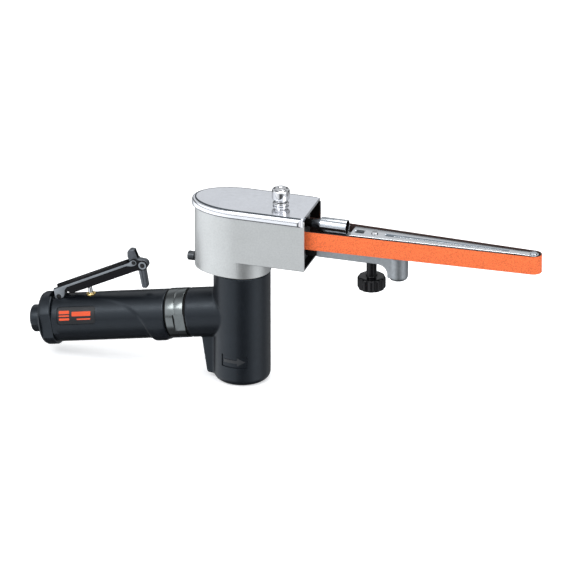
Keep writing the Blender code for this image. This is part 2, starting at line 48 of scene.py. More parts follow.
# Millimetres. S and T are measured along and above the handle axis, U and V along and
# above the throttle lever; Z is the height above the foot and X the reach of the head.
BELT_Z0 = 102.5
BELT_W = 12.7
DRIVE_R = 12.7
TIP_R = 4.7
TIP_X = 199.5
HANDLE_Z = 47.5
DROOP = math.radians(10)
GRIP_R = 16.4
PIVOT_S = 124.1
PIVOT_T = 16.6
LEVER_RISE = math.radians(21)
LOCK_U = 64.9
LOCK_V = -4.1
VALVE_S = 103.0
WALL_HALF = 18.7
NOSE_LEN = 32.0
MOUTH_X = 48.4
LID_TOP = 127.2
ROD_Z = 116.9
KNOB_X = 88.9
FINGER_X = 107.2
LID_KNOB_X = 26.6
SCREW_Z = 82.3
GRIP_FRONT = 49.6
GRIP_BACK = 128.6
FLAT_HALF = 15.0
LABEL_S = 110.75
LOCK_S = 62.0
LOCK_T = 36.0
RIVET_U = 60.4
RIVET_V = 0.1
LEVER_HALF = 4.4
ARM_BACK = 75.6
ARM_BOTTOM = 103.2
ARM_TOP = 115.0
ARM_FRONT = 189.0
ARM_RIVET_X = 91


# ---------------------------------------------------------------- places

def handle_frame():
    return Matrix.Translation((0, 0, HANDLE_Z)) @ Matrix.Rotation(-DROOP, 4, "Y")


def lever_frame():
    pivot = Matrix.Translation((-PIVOT_S, 0, PIVOT_T))
    return handle_frame() @ pivot @ Matrix.Rotation(-LEVER_RISE, 4, "Y")


def along_back():
    """A mesh drawn round Z is laid along -X, so its height becomes the station s."""
    return Matrix.Rotation(-math.pi / 2, 4, "Y")


def along_x(x, y, z):
    return Matrix.Translation((x, y, z)) @ Matrix.Rotation(math.pi / 2, 4, "Y")


def along_y(x, y, z):
    return Matrix.Translation((x, y, z)) @ Matrix.Rotation(-math.pi / 2, 4, "X")


def shift(x, y, z):
    return Matrix.Translation((x, y, z))


def moved(bm, matrix):
    bm.transform(matrix)
    return bm


# ---------------------------------------------------------------- outlines

def arc(cx, cy, rx, ry, start, end, steps):
    points = []
    for i in range(steps + 1):
        a = math.radians(start + (end - start) * i / steps)
        points.append((cx + rx * math.cos(a), cy + ry * math.sin(a)))
    return points


def fillet(points, radius, steps=5, closed=True):
    """Rounds the corners of an outline; an end of an open one stays sharp."""
    out = []
    n = len(points)
    for i in range(n):
        p = Vector(points[i])
        if not closed and i in (0, n - 1):
            out.append(tuple(p))
            continue
        a = Vector(points[i - 1]) - p
        b = Vector(points[(i + 1) % n]) - p
        turn = math.pi - a.angle(b)
        if turn < 0.12:
            out.append(tuple(p))
            continue
        reach = min(radius * math.tan(turn / 2), 0.48 * a.length, 0.48 * b.length)
        start = p + a.normalized() * reach
        end = p + b.normalized() * reach
        for k in range(steps + 1):
            t = k / steps
            out.append(tuple(start * (1 - t) ** 2 + p * (2 * t * (1 - t)) + end * t ** 2))
    return out


def inset(points, distance):
    """Moves a closed outline inward along its corner normals."""
    n = len(points)
    area = sum(points[i][0] * points[(i + 1) % n][1] - points[(i + 1) % n][0] * points[i][1]
               for i in range(n))
    sign = 1 if area > 0 else -1
    out = []
    for i in range(n):
        p = Vector(points[i])
        a = (p - Vector(points[i - 1])).normalized()
        b = (Vector(points[(i + 1) % n]) - p).normalized()
        normal = Vector((-a.y - b.y, a.x + b.x)) * sign
        if normal.length < 1e-6:
            out.append(tuple(p))
            continue
        normal.normalize()
        lean = max(0.5, normal.dot(Vector((-b.y, b.x)) * sign))
        out.append(tuple(p + normal * (distance / lean)))
    return out


# ---------------------------------------------------------------- solids

def loft(rings, closed=False):
    bm = bmesh.new()
    loops = [[bm.verts.new(p) for p in ring] for ring in rings]
    count = len(loops[0])
    last = len(loops) if closed else len(loops) - 1
    for i in range(last):
        a = loops[i]
        b = loops[(i + 1) % len(loops)]
        for j in range(count):
            k = (j + 1) % count
            bm.faces.new((a[j], a[k], b[k], b[j]))
    if not closed:
        bm.faces.new(loops[0])
        bm.faces.new(loops[-1])
    bmesh.ops.recalc_face_normals(bm, faces=bm.faces)
    return bm


def angles(count):
    return [2 * math.pi * i / count for i in range(count)]


def around(radii, z):
    """Points round Z at one height, evenly spaced, one for each radius."""
    return [(r * math.cos(a), r * math.sin(a), z) for r, a in zip(radii, angles(len(radii)))]


def revolve(profile, segs=64):
    bm = bmesh.new()
    rings = []
    for r, h in profile:
        points = [(0, 0, h)] if r < 1e-6 else around([r] * segs, h)
        rings.append([bm.verts.new(p) for p in points])
    for a, b in zip(rings, rings[1:] + rings[:1]):
        if len(a) == 1 and len(b) == 1:
            continue
        for i in range(segs):
            j = (i + 1) % segs
            corners = [a[i % len(a)], a[j % len(a)], b[j % len(b)], b[i % len(b)]]
            bm.faces.new(list(dict.fromkeys(corners)))
    bmesh.ops.recalc_face_normals(bm, faces=bm.faces)
    return bm


def turned(profile, radius=0.3, segs=64):
    """A lathe shape with every corner of its (radius, height) profile rounded."""
    solid = profile[0][0] < 1e-6
    return revolve(fillet(profile, radius, 4, closed=not solid), segs)


def disc(r, z0, z1, segs=48):
    return revolve([(0, z0), (r, z0), (r, z1), (0, z1)], segs)


def slab(outline, lo, hi, axis="Z", edge=0.0, steps=3):
    """An outline extruded along axis, with its rims rounded by edge."""
    order = {"X": (2, 0, 1), "Y": (0, 2, 1), "Z": (0, 1, 2)}[axis]
    levels = [(0.0, lo), (0.0, hi)]
    if edge > 0:
        levels = []
        for k in range(steps + 1):
            a = math.pi / 2 * k / steps
            levels.append((edge * (1 - math.sin(a)), lo + edge * (1 - math.cos(a))))
        levels += [(d, hi + lo - z) for d, z in reversed(levels)]
    rings = []
    for d, level in levels:
        plan = inset(outline, d) if d > 1e-6 else outline
        rings.append([tuple((a, b, level)[i] for i in order) for a, b in plan])
    return loft(rings)


def block(x0, x1, y0, y1, z0, z1, edge=0.0, corner=0.0):
    plan = [(x0, y0), (x1, y0), (x1, y1), (x0, y1)]
    if corner > 0:
        plan = fillet(plan, corner)
    return slab(plan, z0, z1, "Z", edge)


def combine(bm, tool, operation):
    objects = []
    for name, source in (("base", bm), ("tool", tool)):
        bmesh.ops.triangulate(source, faces=[f for f in source.faces if len(f.verts) > 4])
        bmesh.ops.recalc_face_normals(source, faces=source.faces)
        mesh = bpy.data.meshes.new(name)
        source.to_mesh(mesh)
        source.free()
        obj = bpy.data.objects.new(name, mesh)
        bpy.context.scene.collection.objects.link(obj)
        objects.append(obj)
    base, cutter = objects
    mod = base.modifiers.new("combine", "BOOLEAN")
    mod.operation = operation
    mod.object = cutter
    result = bmesh.new()
    result.from_object(base, bpy.context.evaluated_depsgraph_get())
    for obj in objects:
        bpy.data.objects.remove(obj, do_unlink=True)
    bmesh.ops.remove_doubles(result, verts=result.verts, dist=1e-4)
    return result


def cut(bm, *tools):
    for tool in tools:
        bm = combine(bm, tool, "DIFFERENCE")
    return bm


def join(bm, *tools):
    for tool in tools:
        bm = combine(bm, tool, "UNION")
    return bm


def common(bm, *tools):
    for tool in tools:
        bm = combine(bm, tool, "INTERSECT")
    return bm


def flats(bm, s0, s1, z0, z1):
    """Two wrench flats, on the near and far sides, between stations s0 and s1."""
    for y0, y1 in ((-22, -FLAT_HALF), (FLAT_HALF, 22)):
        bm = cut(bm, block(-s1, -s0, y0, y1, z0, z1))
    return bm


def melt(solids, voxel=0.5, rounds=6):
    """Remeshes overlapping solids into one and smooths it, so corners become fillets."""
    bm = bmesh.new()
    for solid in solids:
        part = bpy.data.meshes.new("part")
        solid.to_mesh(part)
        solid.free()
        bm.from_mesh(part)
    mesh = bpy.data.meshes.new("melt")
    bm.to_mesh(mesh)
    bm.free()
    obj = bpy.data.objects.new("melt", mesh)
    bpy.context.scene.collection.objects.link(obj)
    mod = obj.modifiers.new("remesh", "REMESH")
    mod.mode = "VOXEL"
    mod.voxel_size = voxel
    mod = obj.modifiers.new("smooth", "SMOOTH")
    mod.factor = 0.5
    mod.iterations = rounds
    result = bmesh.new()
    result.from_object(obj, bpy.context.evaluated_depsgraph_get())
    bpy.data.objects.remove(obj, do_unlink=True)
    return result


# ---------------------------------------------------------------- materials

class Nodes:
    """Short names for building one procedural material in object space."""

    def __init__(self, name):
        self.mat = bpy.data.materials.new(name)
        self.mat.use_nodes = True
        self.tree = self.mat.node_tree
        self.shader = self.tree.nodes["Principled BSDF"]
        self.coords = self.tree.nodes.new("ShaderNodeTexCoord").outputs["Object"]

    def put(self, socket, value):
        if isinstance(value, bpy.types.NodeSocket):
            self.tree.links.new(value, socket)
        else:
            socket.default_value = value

    def stretch(self, scale):
        node = self.tree.nodes.new("ShaderNodeMapping")
        self.put(node.inputs["Vector"], self.coords)
        node.inputs["Scale"].default_value = scale
        return node.outputs["Vector"]

    def noise(self, scale, detail=3.0, vector=None, rough=0.5):
        node = self.tree.nodes.new("ShaderNodeTexNoise")
        self.put(node.inputs["Vector"], vector or self.coords)
        node.inputs["Scale"].default_value = scale
        node.inputs["Detail"].default_value = detail
        node.inputs["Roughness"].default_value = rough
        return node.outputs["Fac"]

    def cells(self, scale):
        node = self.tree.nodes.new("ShaderNodeTexVoronoi")
        self.put(node.inputs["Vector"], self.coords)
        node.inputs["Scale"].default_value = scale
        return node.outputs["Distance"]

    def spread(self, value, lo, hi, low=0.3, high=0.7):
        node = self.tree.nodes.new("ShaderNodeMapRange")
        self.put(node.inputs["Value"], value)
        for key, number in (("From Min", low), ("From Max", high), ("To Min", lo), ("To Max", hi)):
            node.inputs[key].default_value = number
        return node.outputs["Result"]

    def ramp(self, value, stops):
        node = self.tree.nodes.new("ShaderNodeValToRGB")
        self.put(node.inputs["Fac"], value)
        while len(node.color_ramp.elements) < len(stops):
            node.color_ramp.elements.new(0.5)
        for element, (place, colour) in zip(node.color_ramp.elements, stops):
            element.position = place
            element.color = (*colour, 1.0)
        return node.outputs["Color"]

    def bump(self, height, strength, distance):
        node = self.tree.nodes.new("ShaderNodeBump")
        node.inputs["Strength"].default_value = strength
        node.inputs["Distance"].default_value = distance
        self.put(node.inputs["Height"], height)
        self.put(self.shader.inputs["Normal"], node.outputs["Normal"])

    def set(self, **values):
        for key, value in values.items():
            self.put(self.shader.inputs[key.replace("_", " ")], value)


def shade(colour, factor):
    return tuple(min(1.0, c * factor) for c in colour)


def plastic(name, colour, rough=0.5, grain=900.0, relief=0.12, mottle=0.12, level=0.5, tint=1.0):
    """Moulded plastic or composite: faint mottling and a fine moulded grain."""
    n = Nodes(name)
    patches = n.noise(60.0, 4.0)
    tones = [(0.3, shade(colour, 1 - mottle)), (0.7, shade(colour, 1 + mottle))]
    n.set(Base_Color=n.ramp(patches, tones), Metallic=0.0, Specular_IOR_Level=level)
    n.set(Specular_Tint=(tint, 0.5 + 0.5 * tint, 1.0, 1.0))
    n.set(Roughness=n.spread(n.noise(220.0), rough - 0.05, rough + 0.05))
    n.bump(n.noise(grain, 2.0), relief, 0.0003)
    return n.mat


def metal(name, colour, rough=0.3, scale=(1, 1, 1), relief=0.05, tone=0.08, grain=400.0):
    """Metal with fine marks; unequal scale turns the marks into brushing lines."""
    n = Nodes(name)
    marks = n.noise(grain, 3.0, n.stretch(scale))
    tones = [(0.3, shade(colour, 1 - tone)), (0.7, shade(colour, 1 + tone))]
    n.set(Base_Color=n.ramp(marks, tones), Metallic=1.0)
    n.set(Roughness=n.spread(n.noise(90.0), rough - 0.04, rough + 0.04))
    n.bump(marks, relief, 0.0002)
    return n.mat


def grit(name, colour, scale):
    """Abrasive grains on cloth."""
    n = Nodes(name)
    grains = n.cells(scale)
    tones = [(0.1, shade(colour, 1.22)), (0.38, colour), (0.66, shade(colour, 0.7))]
    n.set(Base_Color=n.ramp(grains, tones), Metallic=0.0, Roughness=0.85)
    n.bump(grains, 0.5, 0.0002)
    return n.mat


def felt(name, colour):
    n = Nodes(name)
    fibres = n.noise(1500.0, 5.0, rough=0.8)
    tones = [(0.3, shade(colour, 0.7)), (0.7, shade(colour, 1.15))]
    n.set(Base_Color=n.ramp(fibres, tones), Metallic=0.0, Roughness=0.95)
    n.bump(fibres, 0.6, 0.0005)
    return n.mat


def make_materials():
    m = {}
    m["composite"] = plastic("composite", (0.0045, 0.0058, 0.0080), 0.33, level=0.40, tint=0.8)
    m["cap"] = plastic("cap_composite", (0.0055, 0.0070, 0.0095), 0.33, level=0.44, tint=0.8)
    m["label"] = plastic("label", (0.010, 0.011, 0.013), 0.38, relief=0.05, level=0.3)
    m["mark"] = plastic("label_mark", (0.60, 0.075, 0.026), 0.5, relief=0.03, mottle=0.05, level=0.2)
    m["gloss_black"] = plastic("gloss_black", (0.003, 0.003, 0.0035), 0.16, relief=0.02, level=0.22)
    m["soft_black"] = plastic("soft_black", (0.004, 0.004, 0.004), 0.6, level=0.2)
    # painted shade: near-black, dull material for pieces laid where the housing's inside, the tension tube
    # and the lock lever's slot are in shadow
    m["liner"] = plastic("liner_black", (0.002, 0.002, 0.002), 0.7, level=0.1)
    m["rubber"] = plastic("rubber", (0.004, 0.004, 0.004), 0.6, grain=500.0, level=0.2)
    m["graphite"] = plastic("graphite", (0.016, 0.018, 0.021), 0.45)
    m["vane"] = plastic("vane_laminate", (0.20, 0.13, 0.07), 0.6, grain=300.0)
    m["stainless"] = metal("stainless", (0.605, 0.615, 0.605), 0.42, (1, 1, 1), 0.05, 0.05, 900.0)
    m["lid"] = metal("lid_stainless", (0.88, 0.89, 0.92), 0.14, (1, 1, 1), 0.012, 0.03)
    m["chrome"] = metal("chrome", (0.66, 0.66, 0.67), 0.05, (1, 1, 1), 0.01, 0.02)
    m["bright"] = metal("bright_steel", (0.56, 0.59, 0.62), 0.18, (0.1, 1, 1), 0.04, 0.06)
    m["plate"] = metal("plate_steel", (0.78, 0.80, 0.82), 0.2, (0.1, 1, 1), 0.04, 0.06)
    # painted shade: dark steel for the strip on the floor of the contact arm's slot, where shade falls
    m["ground"] = metal("slot_floor_shade_steel", (0.17, 0.20, 0.23), 0.36, (1, 1, 1), 0.1, 0.25, 900.0)
    # painted shade: dark steel for the ring in the lid's crease and the pad in the contact arm's recess,
    # where shade falls
    m["pocket"] = metal("pocket_steel", (0.07, 0.08, 0.09), 0.4, (1, 1, 1), 0.1, 0.3, 900.0)
    # black pins and rivets; the same black is also painted shade in the grooves of the lid knob
    m["pin"] = plastic("black_pin_and_groove_shade", (0.006, 0.006, 0.007), 0.35, relief=0.02, level=0.3)
    m["collar"] = metal("collar_steel", (0.17, 0.185, 0.185), 0.2, (1, 1, 1), 0.01, 0.05)
    m["dark"] = metal("dark_steel", (0.075, 0.08, 0.085), 0.38, (1, 1, 1), 0.05, 0.12)
    m["lever"] = plastic("lever_black", (0.003, 0.003, 0.004), 0.2, relief=0.02, level=0.12)
    m["ear"] = metal("lever_grey", (0.27, 0.29, 0.31), 0.36, (0.2, 1, 1), 0.06, 0.1)
    m["peg"] = metal("peg_grey", (0.135, 0.145, 0.16), 0.38, (1, 1, 1), 0.08, 0.1, 700.0)
    m["cast"] = metal("cast_alloy", (0.36, 0.38, 0.395), 0.45, (1, 1, 1), 0.25, 0.1, 700.0)
    m["motor"] = metal("motor_steel", (0.42, 0.43, 0.45), 0.32, (1, 1, 0.1), 0.06)
    m["alloy"] = metal("turned_alloy", (0.60, 0.61, 0.62), 0.3, (0.1, 1, 1), 0.05)
    m["brass"] = metal("brass", (0.80, 0.58, 0.22), 0.22, (1, 1, 0.2), 0.03)
    m["bronze"] = metal("bronze", (0.55, 0.40, 0.20), 0.4, (1, 1, 1), 0.2, 0.15, 900.0)
    m["grit"] = grit("grit_orange", (0.78, 0.14, 0.034), 1450.0)
    m["backing"] = grit("belt_cloth", (0.035, 0.016, 0.012), 1800.0)
    m["felt"] = felt("felt", (0.45, 0.44, 0.42))
    return m


# ---------------------------------------------------------------- storing pieces

def piece(name, bm, body, material, nodes=(), smooth=32.0):
    """Stores a mesh as a piece that rides a body and stands for the named CAD nodes."""
    bmesh.ops.remove_doubles(bm, verts=bm.verts, dist=1e-5)
    bmesh.ops.recalc_face_normals(bm, faces=bm.faces)
    bm.transform(Matrix.Scale(MM, 4))
    mesh = bpy.data.meshes.new(name)
    bm.to_mesh(mesh)
    bm.free()
    mesh.polygons.foreach_set("use_smooth", [True] * len(mesh.polygons))
    mesh.set_sharp_from_angle(angle=math.radians(smooth))
    mesh.materials.append(material)
    obj = bpy.data.objects.new(name, mesh)
    bpy.context.scene.collection.objects.link(obj)
    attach(obj, body)
    if nodes:
        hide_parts(*nodes)
    return obj


def weighted(obj):
    """Keeps broad faces flat-looking next to their small rounded edges."""
    mod = obj.modifiers.new("normals", "WEIGHTED_NORMAL")
    mod.keep_sharp = True
    return obj


# ---------------------------------------------------------------- motor housing

def angle_housing(m):
    foot = [(0, 0), (13.85, 0)] + arc(13.85, 5, 5, 5, -90, 0, 10)[1:]
    top = [(18.85, 77.6), (17.0, 77.6), (17.0, 88.0), (0, 88.0)]
    barrel = revolve(foot + top, 96)
    neck = moved(disc(GRIP_R, 4, 34.7, 80), along_back())
    neck.transform(handle_frame())
    side = [(-8, 3), (-19.5, 3), (-21.3, 3.4), (-22.0, 5), (-25.3, 27), (-26.5, 34), (-8, 44)]
    gusset = slab(fillet(side, 1.2), -8, 8, "Y")
    body = melt((barrel, neck, gusset), 0.55, 5)
    socket = moved(disc(15.2, 33.2, 40, 48), along_back())
    socket.transform(handle_frame())
    sector = arc(0, 0, 14, 14, -118, -62, 14) + arc(0, 0, 25, 25, -62, -118, 14)
    ring_outer = disc(30, 13.65, 22.35, 96)
    shell = cut(ring_outer, disc(18.2, 10, 26, 96))
    mark = common(shell, slab(sector, 10, 26))
    body = cut(body, disc(15.3, 4, 95, 64), socket, mark)
    piece("angle_housing_skin", body, "tool", m["composite"], ["angle_housing"], 30)
    piece("rotation_arrow", arrow(), "tool", m["graphite"])


def arrow():
    """A plain arrow, raised on the floor of the recess."""
    head = [(-7.2, 1.1), (-7.2, -1.1), (2.2, -1.1), (2.2, -2.9), (7.4, 0), (2.2, 2.9), (2.2, 1.1)]
    plan = slab([(x, 18.0 + z) for x, z in head], -30, -5, "Y")
    return common(plan, cut(disc(18.55, 10, 26, 96), disc(18.0, 5, 30, 96)))


# ---------------------------------------------------------------- handle

def smoothstep(x):
    x = min(1.0, max(0.0, x))
    return x * x * (3 - 2 * x)


def grip_radius(s, a):
    """Grip surface; a is 0 on top, 90 degrees on the near side, 180 underneath."""
    down = math.degrees(a)
    crease = 60.5 + 74 * math.exp(-0.033 * down)
    height = (0.35 + 0.55 * smoothstep((down - 50) / 60)) * smoothstep((down - 8) / 30)
    raised = height * smoothstep((crease - s) / 1.3 + 0.5)
    lip = 1.1 * smoothstep((down - 95) / 60) * smoothstep((65 - s) / 6)
    return GRIP_R - 0.45 + raised + lip * smoothstep((s - GRIP_FRONT) / 5)


def end_round(reach, radius=0.5):
    """How far the surface falls back at a distance of reach from a rounded end."""
    if reach > radius:
        return 0.0
    return radius * (1 - math.sin(math.acos(max(0.0, 1 - reach / radius))))


def grip(m):
    rings = []
    stations = [GRIP_FRONT, 49.75, 50.1] + [51 + 0.75 * i for i in range(103)] + [128.2, 128.5, GRIP_BACK]
    for s in stations:
        fall = end_round(s - GRIP_FRONT) + end_round(GRIP_BACK - s)
        loop = []
        for i in range(112):
            a = 2 * math.pi * i / 112
            r = grip_radius(s, min(a, 2 * math.pi - a)) - fall
            loop.append((-s, -r * math.sin(a), r * math.cos(a)))
        rings.append(loop)
    body = loft(rings)
    lug = [(-127.8, 10), (-127.4, 16.6)] + arc(-PIVOT_S, PIVOT_T, 3.2, 3.2, 180, 0, 16)
    body = join(body, slab(lug + [(-120.8, 16.6), (-120.4, 10)], -3.1, 3.1, "Y"))
    body = cut(body, moved(disc(11.3, 40, 118, 48), along_back()))
    body = cut(body, moved(disc(13.4, 117.5, 140, 48), along_back()))
    body = cut(body, moved(disc(3.45, 8, 30, 32), shift(-VALVE_S, 0, 0)))
    for y0, y1 in ((-4.8, -3.1), (3.1, 4.8)):
        body = cut(body, block(-132, -112.5, y0, y1, 12.7, 30))
    body = flats(body, 124.4, 130, -9, 9)
    body = cut(body, label_patch(27.0, 12.0, 15.45, 18.0, 2.4))
    body.transform(handle_frame())
    piece("grip_skin", body, "tool", m["composite"], ["handle_grip"], 34)


def label_patch(length, height, r_in, r_out, corner, dx=0.0, dz=0.0):
    """A rounded rectangle wrapped on the handle's near side, 25 degrees above level."""
    x = -LABEL_S + dx
    plan = [(x - length / 2, dz - height / 2), (x + length / 2, dz - height / 2),
            (x + length / 2, dz + height / 2), (x - length / 2, dz + height / 2)]
    plate = slab(fillet(plan, corner), 5, 30)
    plate.transform(Matrix.Rotation(math.radians(65), 4, "X"))
    shell = cut(moved(disc(r_out, 80, 140, 96), along_back()),
                moved(disc(r_in, 70, 150, 96), along_back()))
    return common(plate, shell)


def label(m):
    plate = moved(label_patch(26.3, 11.3, 15.3, 15.75, 2.2), handle_frame())
    piece("label_insert", plate, "tool", m["label"], ["label_plate"], 30)
    bars = ((7.2, 2.2, -8.4, 2.2), (7.2, 1.0, -8.4, -0.2), (7.2, 1.5, -8.4, -2.4), (13.2, 3.0, 3.6, 0.9),
            (9.6, 0.9, 5.2, -2.6))
    for i, (length, height, dx, dz) in enumerate(bars):
        bar = moved(label_patch(length, height, 15.7, 15.84, 0.45, dx, dz), handle_frame())
        piece(f"label_bar_{i + 1}", bar, "tool", m["mark"])


def collar(m):
    profile = [(11.4, 36.0), (16.5, 36.0), (16.5, 41.6), (16.25, 41.75), (16.25, 42.2), (16.5, 42.35)]
    body = moved(turned(profile + [(16.5, 48.2), (11.4, 48.2)], 0.25, 96), along_back())
    body = flats(body, 35.0, 43.2, -7.5, 5.0)
    body.transform(handle_frame())
    piece("collar_skin", body, "tool", m["collar"], ["collar"], 30)
    for name, s0 in (("oring_front", 34.95), ("oring_rear", 48.4)):
        seal = moved(turned([(11.6, s0), (15.9, s0), (15.9, s0 + 0.9), (11.6, s0 + 0.9)], 0.4, 80),
                     along_back())
        seal.transform(handle_frame())
        piece(name + "_skin", seal, "tool", m["rubber"], [name])


def rear_end(m):
    profile = [(11.3, 128.9), (17.3, 128.9), (17.6, 129.6), (17.6, 135.4), (16.6, 137.4), (15.0, 138.0)]
    profile += [(9.3, 138.0), (9.3, 132.0), (11.3, 132.0)]
    cap = moved(turned(profile, 0.8, 96), along_back())
    cap = flats(cap, 127, 136.4, -8.6, 8.6)
    cap = cut(cap, block(-131.0, -127, -4.9, 4.9, 13.6, 24))
    cap.transform(handle_frame())
    piece("rear_cap_skin", cap, "tool", m["cap"], ["rear_cap"], 30)
    inlet = [(6.3, 132.0), (7.9, 132.0), (7.9, 138.3), (9.0, 138.3), (9.0, 145.2), (8.3, 146.0)]
    body = moved(turned(inlet + [(6.3, 146.0)], 0.35), along_back())
    body = cut(body, block(-147, -141.5, -10, -5, -1.9, -1.1))
    for s in (133.5, 135.0, 136.5):
        body = cut(body, moved(cut(disc(9, s, s + 0.5), disc(7.5, s - 1, s + 2)), along_back()))
    body.transform(handle_frame())
    piece("inlet_skin", body, "tool", m["cap"], ["inlet_bushing"], 30)


# ---------------------------------------------------------------- throttle

def lever_side():
    top = [(-0.9, 6.3), (57.6, 1.8), (59.8, 2.4), (61.6, 2.1), (62.6, 0.7)]
    lobe = arc(LOCK_U, LOCK_V, 3.4, 3.4, 75, -110, 18)
    belly = [(59.2, -5.8), (14.3, -2.2), (9.0, -1.6), (7.2, 0.6), (3.2, 1.0), (2.4, -2.0)]
    return fillet(top + lobe + belly + [(-3.7, -1.9)], 0.8, 4)


def throttle_lever(m):
    body = slab(lever_side(), -LEVER_HALF, LEVER_HALF, "Y", 0.4)
    inner = [(-12, -20), (80, -20), (80, 10), (60.5, 10), (60.5, 0.35), (3.0, 4.8), (3.0, 10), (-12, 10)]
    body = cut(body, slab(inner, -3.4, 3.4, "Y"), block(54.6, 75, -3.3, 3.3, 0, 10))
    body = cut(body, block(62.0, 72, 0, 8, -12, 3.5))
    for u, v, r in ((0, 0, 1.65), (LOCK_U, LOCK_V, 1.4), (RIVET_U, RIVET_V, 1.0)):
        body = cut(body, moved(disc(r, -10, 10, 32), along_y(u, 0, v)))
    body.transform(lever_frame())
    piece("throttle_lever_skin", body, "throttle", m["lever"], ["throttle_lever"], 32)
    strip = [(-0.7, 5.8), (57.2, 1.3), (59.6, 2.0), (61.4, 1.7), (62.3, 0.3), (62.0, -1.4), (60.0, -2.0)]
    strip += [(57.5, -1.4), (54.5, 0.05), (8.6, 3.5), (6.0, 2.2), (4.3, -0.5), (2.6, -1.8), (-3.5, -1.75)]
    for side, y0, y1 in (("near", -4.6, -4.38), ("far", 4.38, 4.6)):
        plate = slab(fillet(strip, 0.6), y0, y1, "Y", 0.08)
        plate = cut(plate, moved(disc(1.7, -10, 10, 32), along_y(0, 0, 0)))
        plate = cut(plate, moved(disc(1.05, -10, 10, 24), along_y(RIVET_U, 0, RIVET_V)))
        piece(f"lever_face_{side}", moved(plate, lever_frame()), "throttle", m["ear"])
    hub = moved(turned([(1.6, -4.55), (2.7, -4.55), (2.7, -4.38), (1.6, -4.38)], 0.06, 48),
                along_y(LOCK_U, 0, LOCK_V))
    piece("lever_hub", moved(hub, lever_frame()), "throttle", m["ear"])


def lever_pins(m):
    pin = moved(turned([(0, -4.7), (1.5, -4.7), (1.5, 4.7), (0, 4.7)], 0.25, 32), along_y(0, 0, 0))
    piece("lever_pin_skin", moved(pin, lever_frame()), "tool", m["pin"], ["lever_pin"])
    pin = turned([(0, -4.8), (1.3, -4.8), (1.3, 2.1), (0, 2.1)], 0.25, 32)
    pin.transform(along_y(LOCK_U, 0, LOCK_V))
    piece("lock_pin_skin", moved(pin, lever_frame()), "throttle", m["pin"], ["lock_pin"])
    for name, side in (("lever_rivet_near", -1), ("lever_rivet_far", 1)):
        rivet = turned([(0, 3.5), (0.9, 3.5), (0.9, 4.62), (1.5, 4.62), (1.2, 4.9), (0, 4.95)], 0.12, 32)
        if side < 0:
            rivet.transform(Matrix.Rotation(math.pi, 4, "X"))
        rivet.transform(along_y(RIVET_U, 0, RIVET_V))
        piece(name + "_skin", moved(rivet, lever_frame()), "throttle", m["pin"], [name])


def lock_off_lever(m):
    leg = [(-61.6, 32.5), (-61.7, 20.4), (-62.5, 19.3), (-65.0, 19.5), (-65.7, 20.5), (-66.0, 32.0)]
    tab = [(-69.5, 37.2), (-71.2, 38.7), (-72.1, 42.0), (-71.6, 45.6), (-69.6, 47.0), (-66.7, 46.7)]
    hub = [(-65.2, 40.0)] + arc(-LOCK_S, LOCK_T, 3.2, 3.2, 80, -50, 12)
    body = slab(fillet(leg + tab + hub, 1.1), -2.9, 1.9, "Y", 0.5)
    bore = moved(disc(1.45, -10, 10, 32), along_y(-LOCK_S, 0, LOCK_T))
    slot = slab([(-66.0, 45.9), (-64.0, 40.4), (-67.4, 39.8), (-68.7, 45.3)], -1.8, 0.8, "Y")
    groove = block(-64.0, -63.3, -4, -2.4, 20.6, 33.0)
    body = cut(body, bore, slot, groove)
    for i in range(6):
        z = 39.6 + 1.1 * i
        body = cut(body, block(-74.5, -71.4, -5, 5, z, z + 0.45))
        body = cut(body, block(-71.6, -69.2, -3.2, -2.6, z, z + 0.45))
    body.transform(handle_frame())
    piece("lock_lever_skin", body, "lock", m["peg"], ["lock_off_lever"], 30)
    # painted shade: a near-black strip on the floor of the slot in the tab, where shade falls
    slot_shade_strip = slab([(-68.2, 45.6), (-66.9, 39.6), (-67.6, 39.5), (-68.9, 45.4)], -1.75, 0.75, "Y")
    piece("lock_lever_slot_shade", moved(slot_shade_strip, handle_frame()), "lock", m["liner"])


def valve_parts(m):
    at_valve = handle_frame() @ shift(-VALVE_S, 0, 0)
    bush = turned([(1.65, 1.8), (3.2, 1.8), (3.2, 16.2), (2.9, 16.6), (1.65, 16.6)], 0.25, 48)
    piece("valve_bushing_skin", moved(bush, at_valve), "tool", m["brass"], ["valve_bushing"])
    stem = [(0, -2.4), (1.4, -2.4), (1.5, 0), (1.5, 20.6), (1.3, 20.8), (1.3, 21.3), (1.5, 21.5)]
    stem += [(1.5, 26.4), (1.0, 27.2), (0, 27.5)]
    piece("valve_stem_skin", moved(turned(stem, 0.2, 40), at_valve), "valve", m["chrome"],
          ["valve_stem"])


# ---------------------------------------------------------------- belt housing

def housing_outline(grow, front):
    """Round nose at the back, straight sides to the front; grow moves every wall outward."""
    nose = arc(0, 0, NOSE_LEN + grow, WALL_HALF + grow, 90, 270, 48)
    return nose + [(front, -WALL_HALF - grow), (front, WALL_HALF + grow)]


def belt_housing(m):
    skirt = arc(0, 0, NOSE_LEN, WALL_HALF, 90, 270, 48) + arc(0, 0, 19.4, WALL_HALF, -85, 85, 48)
    body = slab(housing_outline(0, MOUTH_X), 89.3, 124.9, "Z", 0.7)
    body = join(body, slab(skirt, 77.9, 110.0, "Z", 0.5))
    body = cut(body, slab(housing_outline(-1.3, 70), 90.6, 140), disc(17.35, 70, 95, 96))
    body = cut(body, moved(disc(1.9, -42, -14, 24), along_x(0, 0, SCREW_Z)))
    skin = piece("belt_housing_skin", body, "head", m["stainless"], ["belt_housing"], 32)
    weighted(skin)
    # painted shade: a near-black sheet just inside the housing walls, where the inside is in shadow
    shell = slab(housing_outline(-1.33, 48.2), 90.63, 124.9)
    shell = cut(shell, slab(housing_outline(-1.55, 70), 90.85, 140), disc(17.6, 70, 95, 64))
    piece("housing_liner", shell, "head", m["liner"])


